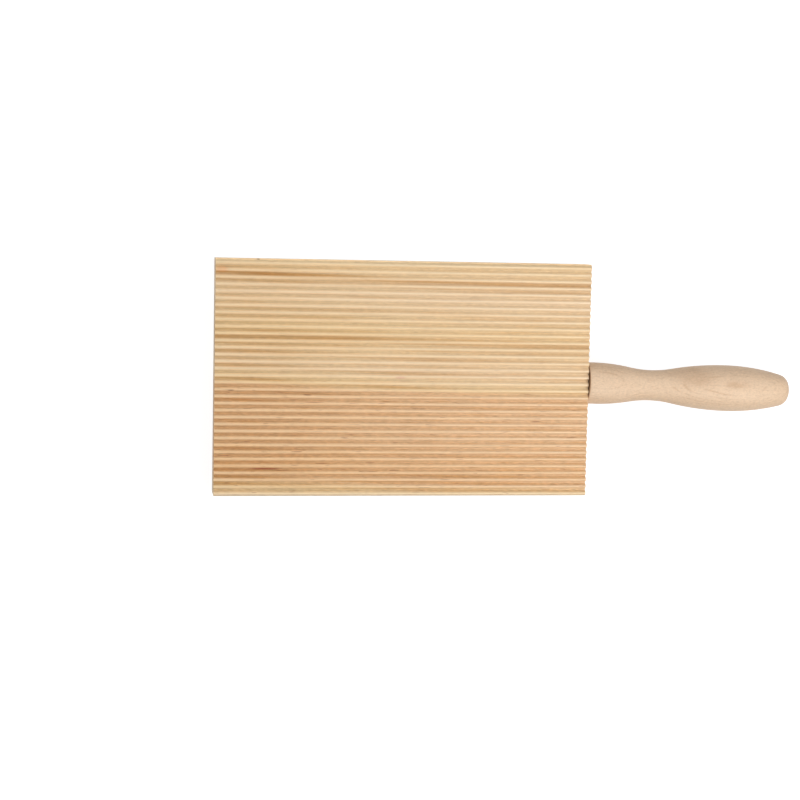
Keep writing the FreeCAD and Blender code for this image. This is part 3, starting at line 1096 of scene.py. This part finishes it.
@dataclass
class RidgedBoard:
    """The plank with its parallel ridges.

    Attributes:
        length: Along the ridges, from the solid.
        width: Across them, from the solid.
        thickness: Underside to crests, from the solid.
        pitch: Crest to crest.
        groove_depth: Crest to groove floor.
        flank: Slope of a ridge's side from level, in radians.
        crest_radius: Rounding of a crest's shoulders.
        floor_radius: Rounding of a groove's floor.
        first_groove: Middle of the first groove from the +Y edge.
        arris: Rounding round the underside.
        ridge_steps: Faces across one ridge.
        length_steps: Faces along one ridge.
        arris_steps: Faces over the rounding of the underside.
        chatter: Unevenness that the cutter leaves.
        chatter_length: How long its waves are.
        crease: Edges that turn by more than this look sharp, in radians.
    """

    length: float
    width: float
    thickness: float
    pitch: float = 2.5 * MM
    groove_depth: float = 1.04 * MM
    flank: float = math.radians(51.5)
    crest_radius: float = 0.5 * MM
    floor_radius: float = 0.35 * MM
    first_groove: float = 0.25 * MM
    arris: float = 0.6 * MM
    ridge_steps: int = 16
    length_steps: int = 30
    arris_steps: int = 4
    chatter: float = 0.05 * MM
    chatter_length: float = 16.0 * MM
    crease: float = math.radians(32)
    finish: Softwood = field(default_factory=Softwood)

    def drop(self, from_groove: float) -> float:
        """How far the ridged face lies below the crests.

        Args:
            from_groove: Distance across the ridges from the middle of a groove.

        Returns:
            The drop, from 0 at a crest to the groove's depth.
        """
        floor_end = self.floor_radius * math.sin(self.flank)
        rounds = (self.crest_radius + self.floor_radius) * (1 - math.cos(self.flank))
        run = (self.groove_depth - rounds) / math.tan(self.flank)
        crest_start = floor_end + run
        crest_top = crest_start + self.crest_radius * math.sin(self.flank)
        if from_groove >= crest_top:
            return 0.0
        if from_groove > crest_start:
            back = crest_top - from_groove
            return self.crest_radius - math.sqrt(self.crest_radius ** 2 - back ** 2)
        if from_groove > floor_end:
            shoulder = self.crest_radius * (1 - math.cos(self.flank))
            return shoulder + (crest_start - from_groove) * math.tan(self.flank)
        rise = self.floor_radius - math.sqrt(self.floor_radius ** 2 - from_groove ** 2)
        return self.groove_depth - rise

    def build(self) -> bpy.types.Object:
        """Models the plank.

        Returns:
            The finished piece.
        """
        board = self.one_ridge()
        for work in (self.repeat, self.trim, self.thicken, self.roughen):
            work(board)
        Bench.smooth(board, self.crease)
        Bench.dress(board, self.finish.material(self))
        return board

    def one_ridge(self) -> bpy.types.Object:
        """Models the first ridge, from one groove to the next, as an open strip.

        Returns:
            The strip.
        """
        start = self.width / 2 - self.first_groove
        Bench.clear()
        bpy.ops.mesh.primitive_grid_add(
            x_subdivisions=self.length_steps, y_subdivisions=self.ridge_steps, size=1,
            location=(0, start + self.pitch / 2, self.thickness))
        strip = Bench.name("ridged_plank")
        strip.scale = (self.length, self.pitch, 1)
        Bench.settle(strip)
        step = self.pitch / self.ridge_steps
        with Bench.editing(strip):
            for row in range(self.ridge_steps + 1):
                place = start + row * step
                from_groove = min(row, self.ridge_steps - row) * step
                Bench.pick(strip, Element.VERTEX, lambda v, at=place: abs(v.co.y - at) < step / 4)
                bpy.ops.transform.translate(value=(0, 0, -self.drop(from_groove)))
        return strip

    def repeat(self, strip: bpy.types.Object) -> None:
        """Repeats the ridge past the -Y edge.

        Args:
            strip: The first ridge.
        """
        count = math.ceil(self.width / self.pitch) + 2
        Bench.apply(strip, "ARRAY", count=count, use_relative_offset=False,
                    use_constant_offset=True, constant_offset_displace=(0, -self.pitch, 0),
                    use_merge_vertices=True, merge_threshold=self.pitch / self.ridge_steps / 10)

    def trim(self, face: bpy.types.Object) -> None:
        """Cuts the ridged face to the plank's width.

        Args:
            face: The ridged face.
        """
        for side in (1, -1):
            with Bench.editing(face, "SELECT"):
                bpy.ops.mesh.bisect(plane_co=(0, side * self.width / 2, 0), plane_no=(0, side, 0),
                                    clear_outer=True, threshold=1e-7)

    def thicken(self, face: bpy.types.Object) -> None:
        """Draws the face down to a solid plank with a flat underside and a sanded arris.

        Args:
            face: The ridged face, which becomes the plank.
        """
        with Bench.editing(face, "SELECT"):
            bpy.ops.mesh.extrude_region_move(
                TRANSFORM_OT_translate={"value": (0, 0, -self.thickness)})
            bpy.ops.transform.resize(value=(1, 1, 0), center_override=(0, 0, 0))
            bpy.ops.mesh.select_all(action="SELECT")
            bpy.ops.mesh.normals_make_consistent(inside=False)
            Bench.pick(face, Element.FACE, self.is_wall_or_underside)
            bpy.ops.mesh.dissolve_limited(
                angle_limit=math.radians(1), use_dissolve_boundaries=False)
            Bench.pick(face, Element.EDGE, self.is_underside_edge)
            bpy.ops.mesh.bevel(offset=self.arris, segments=self.arris_steps, affect="EDGES")

    @staticmethod
    def is_wall_or_underside(face: bmesh.types.BMFace) -> bool:
        """Whether a face looks sideways or down."""
        return face.normal.z < 0.1

    @staticmethod
    def is_underside_edge(edge: bmesh.types.BMEdge) -> bool:
        """Whether an edge lies in the underside's outline."""
        level = all(abs(vertex.co.z) < TOUCH for vertex in edge.verts)
        return level and len(edge.link_faces) == 2 and edge.calc_face_angle() > math.radians(60)

    def roughen(self, board: bpy.types.Object) -> None:
        """Leaves the ridges slightly uneven along their length, as a moulding cutter does.

        Args:
            board: The plank.
        """
        group = board.vertex_groups.new(name="ridged_face")
        ridged = [vertex.index for vertex in board.data.vertices
                  if vertex.co.z > self.thickness - self.groove_depth - TOUCH]
        group.add(ridged, 1.0, "REPLACE")
        wave = bpy.data.textures.new("cutter_wave", "CLOUDS")
        wave.noise_scale = self.chatter_length
        wave.noise_depth = 2
        Bench.apply(board, "DISPLACE", texture=wave, texture_coords="LOCAL", direction="Z",
                    strength=self.chatter, mid_level=1.0, vertex_group=group.name)


# ---------------------------------------------------------------- handle


@dataclass(frozen=True)
class HandleSeat:
    """Where the handle's foot stands before the plank's end.

    Attributes:
        gap: From the plank's end to the foot's face.
        offset: From the plank's middle to the handle's axis, towards -Y.
        lean: Angle of that axis from square, towards -Y, in radians.
    """

    gap: float = 0.4 * MM
    offset: float = 1.2 * MM
    lean: float = math.radians(1.7)

    def foot(self, end: float, thickness: float) -> Place:
        """Middle of the foot's face.

        Args:
            end: The plank's end along X.
            thickness: The plank's thickness.

        Returns:
            The place, at half the thickness.
        """
        return end + self.gap, -self.offset, thickness / 2


@dataclass
class TurnedHandle:
    """The round handle, turned about an axis that leans a little towards -Y.

    Attributes:
        pivot: Middle of the foot's face, in the part's frame.
        lean: Angle of the axis from square, towards -Y, in radians.
        length: Foot to tip.
        collar: Station and radius of the fullest part of the foot.
        waist: Station and radius of the narrowest part.
        belly: Station and radius of the fullest part of the grip.
        waist_curve: Lengthwise curve of the hollow.
        tip_round: Rounding of the tip's shoulder.
        tip_dome: Curve of the tip's nearly flat face.
        tip_face: Radius of that face, from the axis to the shoulder.
        foot_ease: Rounding of the foot's rim.
        bore_radius: The dowel's bore.
        bore_depth: Its depth.
        sides: Faces round the axis.
        step: Length of one face along the axis.
        tip_steps: Faces over the tip's shoulder.
        face_steps: Faces over the tip's face.
        ease_steps: Faces over the foot's rim.
        pole: Radius at which the ends close.
        crease: Edges that turn by more than this look sharp, in radians.
    """

    pivot: Place
    lean: float
    length: float = 78.0 * MM
    collar: Pair = (3.3 * MM, 7.67 * MM)
    waist: Pair = (24.5 * MM, 5.65 * MM)
    belly: Pair = (54.0 * MM, 8.57 * MM)
    waist_curve: float = 42.0 * MM
    tip_round: float = 4.3 * MM
    tip_dome: float = 20.0 * MM
    tip_face: float = 2.2 * MM
    foot_ease: float = 0.25 * MM
    bore_radius: float = 3.05 * MM
    bore_depth: float = 16.0 * MM
    sides: int = 96
    step: float = 0.9 * MM
    tip_steps: int = 12
    face_steps: int = 3
    ease_steps: int = 3
    pole: float = 0.02 * MM
    crease: float = math.radians(35)
    finish: TurnedHardwood = field(default_factory=TurnedHardwood)

    @staticmethod
    def touching(first: Pair, second: Pair) -> float:
        """Sum of the radii of two arcs that bend opposite ways, touch, and are level at two points.

        Args:
            first: Station and radius where the first arc is level.
            second: Station and radius where the second arc is level.

        Returns:
            The sum.
        """
        along, across = second[0] - first[0], abs(second[1] - first[1])
        return (along ** 2 + across ** 2) / (2 * across)

    def radius_at(self, station: float) -> float:
        """The handle's radius.

        Args:
            station: Distance from the foot along the axis.

        Returns:
            The radius there.
        """
        collar_curve = self.touching(self.collar, self.waist) - self.waist_curve
        rising_curve = self.touching(self.waist, self.belly) - self.waist_curve
        span = self.waist[0] - self.collar[0]
        collar_end = self.collar[0] + span * collar_curve / (collar_curve + self.waist_curve)
        span = self.belly[0] - self.waist[0]
        waist_end = self.waist[0] + span * self.waist_curve / (rising_curve + self.waist_curve)

        if station <= collar_end:
            return self.bulge(station, self.collar, collar_curve)
        if station <= waist_end:
            return self.bulge(station, self.waist, -self.waist_curve)
        if station <= self.belly[0]:
            return self.bulge(station, self.belly, rising_curve)
        return self.bulge(station, self.belly, self.falling_curve())

    def shoulder(self) -> Pair:
        """Centre of the tip's rounded shoulder.

        Returns:
            Its station and its distance from the axis.
        """
        share = (self.tip_dome - self.tip_round) / self.tip_dome
        reach = math.sqrt(self.tip_dome ** 2 - self.tip_face ** 2) * share
        return self.length - self.tip_dome + reach, self.tip_face * share

    def falling_curve(self) -> float:
        """Lengthwise curve from the belly down to the tip's shoulder.

        Returns:
            Its radius.
        """
        station, height = self.shoulder()
        along, across = station - self.belly[0], self.belly[1] - height
        rest = across - self.tip_round
        return (along ** 2 + across ** 2 - self.tip_round ** 2) / (2 * rest)

    def tip_rings(self) -> list[Pair]:
        """Rings over the shoulder and the face of the tip.

        Returns:
            Each ring's station and radius.
        """
        station, height = self.shoulder()
        curve = self.falling_curve()
        start = math.atan2(height - self.belly[1] + curve, station - self.belly[0])
        end = math.asin(self.tip_face / self.tip_dome)
        rings = []
        for part in range(self.tip_steps + 1):
            angle = start + (end - start) * part / self.tip_steps
            rings.append((station + self.tip_round * math.cos(angle),
                          height + self.tip_round * math.sin(angle)))
        for part in reversed(range(self.face_steps)):
            angle = end * part / self.face_steps
            rings.append((self.length - self.tip_dome * (1 - math.cos(angle)),
                          self.tip_dome * math.sin(angle)))
        return rings

    @staticmethod
    def bulge(station: float, top: Pair, curve: float) -> float:
        """Radius on an arc that is level at its top.

        Args:
            station: Distance from the foot.
            top: Station and radius where the arc is level.
            curve: The arc's radius, less than 0 for a hollow.

        Returns:
            The radius there.
        """
        fall = abs(curve) - math.sqrt(curve ** 2 - (station - top[0]) ** 2)
        return top[1] - math.copysign(fall, curve)

    def stations(self) -> list[Pair]:
        """The rings that the handle is drawn out through, from the bottom of its bore to its tip.

        Returns:
            Each ring's station and radius.
        """
        foot = self.radius_at(self.foot_ease)
        rings = [(self.bore_depth, 0.0), (self.bore_depth, self.bore_radius),
                 (0.0, self.bore_radius), (0.0, foot - self.foot_ease)]
        for part in range(1, self.ease_steps):
            angle = math.pi / 2 * part / self.ease_steps
            rings.append((self.foot_ease * (1 - math.cos(angle)),
                          foot - self.foot_ease * (1 - math.sin(angle))))
        tip = self.tip_rings()
        run = tip[0][0] - self.foot_ease
        count = round(run / self.step)
        for index in range(count):
            station = self.foot_ease + run * index / count
            rings.append((station, self.radius_at(station)))
        return rings + tip

    def build(self) -> bpy.types.Object:
        """Models the handle.

        Returns:
            The finished piece.
        """
        rings = self.stations()
        Bench.clear()
        bpy.ops.mesh.primitive_circle_add(
            vertices=self.sides, radius=self.pole, fill_type="NGON",
            location=(rings[0][0], 0, 0), rotation=(0, math.radians(90), 0))
        handle = Bench.name("turned_handle")
        Bench.settle(handle)
        with Bench.editing(handle, "SELECT"):
            here, size = rings[0][0], self.pole
            for station, radius in rings[1:]:
                target = max(radius, self.pole)
                bpy.ops.mesh.extrude_region_move(
                    TRANSFORM_OT_translate={"value": (station - here, 0, 0)})
                bpy.ops.transform.resize(value=(1, target / size, target / size),
                                         center_override=(station, 0, 0))
                here, size = station, target
            bpy.ops.mesh.select_all(action="SELECT")
            bpy.ops.mesh.remove_doubles(threshold=0.3 * self.pole)
            bpy.ops.mesh.normals_make_consistent(inside=False)
        Bench.stand(handle, self.pivot, -self.lean)
        Bench.smooth(handle, self.crease)
        Bench.dress(handle, self.finish.material(self.pivot, -self.lean, self.radius_at(0.0)))
        return handle


# ---------------------------------------------------------------- dowel joint


@dataclass
class DowelJoint:
    """The bore in the plank's end, and the look of the dowel that fills it.

    Attributes:
        mouth: Middle of the bore's mouth on the handle's axis, in the part's frame.
        lean: Angle of the axis from square, towards -Y, in radians.
        radius: The bore's radius.
        depth: Its depth from the plane of the handle's foot.
        overrun: How far the drill stands out of the mouth.
        sides: Faces round the bore.
    """

    mouth: Place
    lean: float
    radius: float = 3.05 * MM
    depth: float = 16.4 * MM
    overrun: float = 2.0 * MM
    sides: int = 64
    finish: DowelWood = field(default_factory=DowelWood)

    def drill(self, board: bpy.types.Object) -> None:
        """Drills the plank's end.

        Args:
            board: The plank.
        """
        Bench.clear()
        bpy.ops.mesh.primitive_cylinder_add(
            vertices=self.sides, radius=self.radius, depth=self.depth + self.overrun,
            location=((self.overrun - self.depth) / 2, 0, 0), rotation=(0, math.radians(90), 0))
        drill = Bench.name("drill")
        Bench.settle(drill)
        Bench.stand(drill, self.mouth, -self.lean)
        Bench.apply(board, "BOOLEAN", object=drill, operation="DIFFERENCE", solver="EXACT")
        Bench.take(drill)
        bpy.ops.object.delete()

    def dress(self, dowel: bpy.types.Object) -> None:
        """Gives the dowel its wood.

        Args:
            dowel: The part's own dowel.
        """
        Bench.dress(dowel, self.finish.material(self.mouth, -self.lean))
        log.info("%s: dressed", dowel.name)


# ---------------------------------------------------------------- studio


@dataclass
class Lamp:
    """A soft lamp.

    Attributes:
        label: Its name.
        place: Where it stands.
        aim: What it looks at.
        size: Side of its square face.
        power: Its power, in watts.
    """

    label: str
    place: Place
    aim: Place
    size: float
    power: float

    def hang(self) -> None:
        """Puts the lamp in the scene."""
        data = bpy.data.lights.new(self.label, "AREA")
        data.shape = "SQUARE"
        data.size = self.size
        data.energy = self.power
        lamp = bpy.data.objects.new(self.label, data)
        lamp.location = self.place
        sight = Vector(self.aim) - Vector(self.place)
        lamp.rotation_euler = sight.to_track_quat("-Z", "Y").to_euler()
        bpy.context.scene.collection.objects.link(lamp)


@dataclass
class Studio:
    """Floor, light and camera.

    Attributes:
        low_edge: Where the plank's far lower edge touches the floor, as x and z.
        belly_foot: Where the handle's belly touches it, as x and z.
        camera_place: The lens's place.
        camera_right: Direction of the picture's right side.
        camera_back: Direction from the subject to the camera.
        focal_px: Focal length in pixels of a picture of picture_px.
        picture_px: Width and height of the picture.
        sensor: Width of the camera's sensor, in millimetres.
        horizon_level: Soft light from the sides.
        zenith_level: Soft light from above.
        floor_size: Side of the floor.
        floor_glow: Light that the floor adds for the camera alone.
        floor_tone: Its own grey, which takes the shadows.
    """

    low_edge: Pair
    belly_foot: Pair
    camera_place: Place = (-96.9 * MM, 51.0 * MM, 635.7 * MM)
    camera_right: Place = (0.9886, 0.0204, 0.1491)
    camera_back: Place = (-0.1504, 0.0923, 0.9843)
    focal_px: float = 1755.0
    picture_px: float = 800.0
    sensor: float = 36.0
    horizon_level: float = 0.15
    zenith_level: float = 0.45
    floor_size: float = 6.0
    floor_glow: float = 0.80
    floor_tone: float = 0.45
    lamps: tuple[Lamp, ...] = (
        Lamp("key_softbox", (0.232, -0.252, 0.365), (0.0, 0.0, 0.0), 0.24, 1.10),
        Lamp("side_softbox", (0.250, 0.203, 0.383), (0.0, 0.0, 0.0), 0.30, 0.57),
        Lamp("far_softbox", (-0.305, 0.213, 0.333), (0.0, 0.0, 0.0), 0.30, 0.53),
    )

    def build(self) -> None:
        """Sets the studio up."""
        self.lay_floor()
        self.light()
        self.stand_camera()
        bpy.context.scene.view_settings.view_transform = "Standard"
        log.info("studio: floor, %d lamps and camera", len(self.lamps))

    def lay_floor(self) -> None:
        """Lays the pale floor under the plank's far edge and the handle's belly."""
        run = self.belly_foot[0] - self.low_edge[0]
        tilt = math.atan2(self.low_edge[1] - self.belly_foot[1], run)
        Bench.clear()
        bpy.ops.mesh.primitive_plane_add(size=self.floor_size, location=(0, 0, 0))
        floor = Bench.name("studio_floor")
        with Bench.editing(floor, "SELECT"):
            bpy.ops.mesh.subdivide(number_cuts=3)
        floor.rotation_euler = (0, tilt, 0)
        floor.location = (self.low_edge[0], 0, self.low_edge[1])
        Bench.settle(floor)
        Bench.dress(floor, self.floor_material())

    def floor_material(self) -> bpy.types.Material:
        """A floor that shows white to the camera, with the object's shadow on it.

        Returns:
            The material.
        """
        graph = FinishGraph("white_floor")
        graph.tree.nodes.remove(graph.shader)
        paper = graph.node("ShaderNodeBsdfDiffuse")
        paper.inputs["Color"].default_value = (self.floor_tone,) * 3 + (1.0,)
        glow = graph.node("ShaderNodeEmission")
        glow.inputs["Color"].default_value = (1.0, 1.0, 1.0, 1.0)
        graph.feed(glow.inputs["Strength"], graph.times(graph.seen_directly(), self.floor_glow))
        both = graph.node("ShaderNodeAddShader")
        graph.tree.links.new(paper.outputs[0], both.inputs[0])
        graph.tree.links.new(glow.outputs[0], both.inputs[1])
        graph.tree.links.new(both.outputs[0], graph.output.inputs["Surface"])
        return graph.material

    def light(self) -> None:
        """Hangs the lamps and sets the soft light all round."""
        for lamp in self.lamps:
            lamp.hang()
        world = bpy.data.worlds.new("soft_surround")
        bpy.context.scene.world = world
        world.use_nodes = True
        graph = Graph(world.node_tree)
        surround = graph.tree.nodes["Background"]
        surround.inputs["Color"].default_value = (1.0, 1.0, 1.0, 1.0)
        split = graph.node("ShaderNodeSeparateXYZ")
        graph.feed(split.inputs[0], graph.node("ShaderNodeTexCoord").outputs["Generated"])
        level = graph.between(split.outputs[2], 0.0, 1.0, self.horizon_level, self.zenith_level)
        graph.feed(surround.inputs["Strength"], graph.math("MAXIMUM", level, graph.seen_directly()))

    def stand_camera(self) -> None:
        """Stands the camera where the picture was taken from."""
        back = Vector(self.camera_back).normalized()
        right = Vector(self.camera_right)
        right = (right - right.dot(back) * back).normalized()
        up = back.cross(right)
        data = bpy.data.cameras.new("picture_camera")
        data.sensor_width = self.sensor
        data.lens = self.focal_px / self.picture_px * self.sensor
        data.clip_start = 0.01
        data.clip_end = 20.0
        camera = bpy.data.objects.new("picture_camera", data)
        turn = Matrix((right, up, back)).transposed().to_4x4()
        camera.matrix_world = Matrix.Translation(self.camera_place) @ turn
        bpy.context.scene.collection.objects.link(camera)
        bpy.context.scene.camera = camera


# ---------------------------------------------------------------- build


def main() -> None:
    """Builds the object in order."""
    logging.basicConfig(level=logging.INFO, format="%(name)s: %(message)s")
    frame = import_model()

    low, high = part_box("ridged_board")
    board = RidgedBoard(length=high.x - low.x, width=high.y - low.y, thickness=high.z - low.z)
    seat = HandleSeat()
    foot = seat.foot(high.x, board.thickness)
    handle = TurnedHandle(pivot=foot, lean=seat.lean)
    joint = DowelJoint(mouth=foot, lean=seat.lean)

    plank = board.build()
    joint.drill(plank)
    Bench.smooth(plank, board.crease)
    Bench.hand_over(plank, "ridged_board", "softwood_board")
    Bench.hand_over(handle.build(), "handle", "turned_hardwood")
    joint.dress(frame["nodes"]["dowel"])

    handle_low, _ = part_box("handle")
    belly_x = foot[0] + handle.belly[0] * math.cos(handle.lean)
    studio = Studio(low_edge=(low.x, low.z), belly_foot=(belly_x, handle_low.z))
    studio.build()


if __name__ == "__main__":
    main()
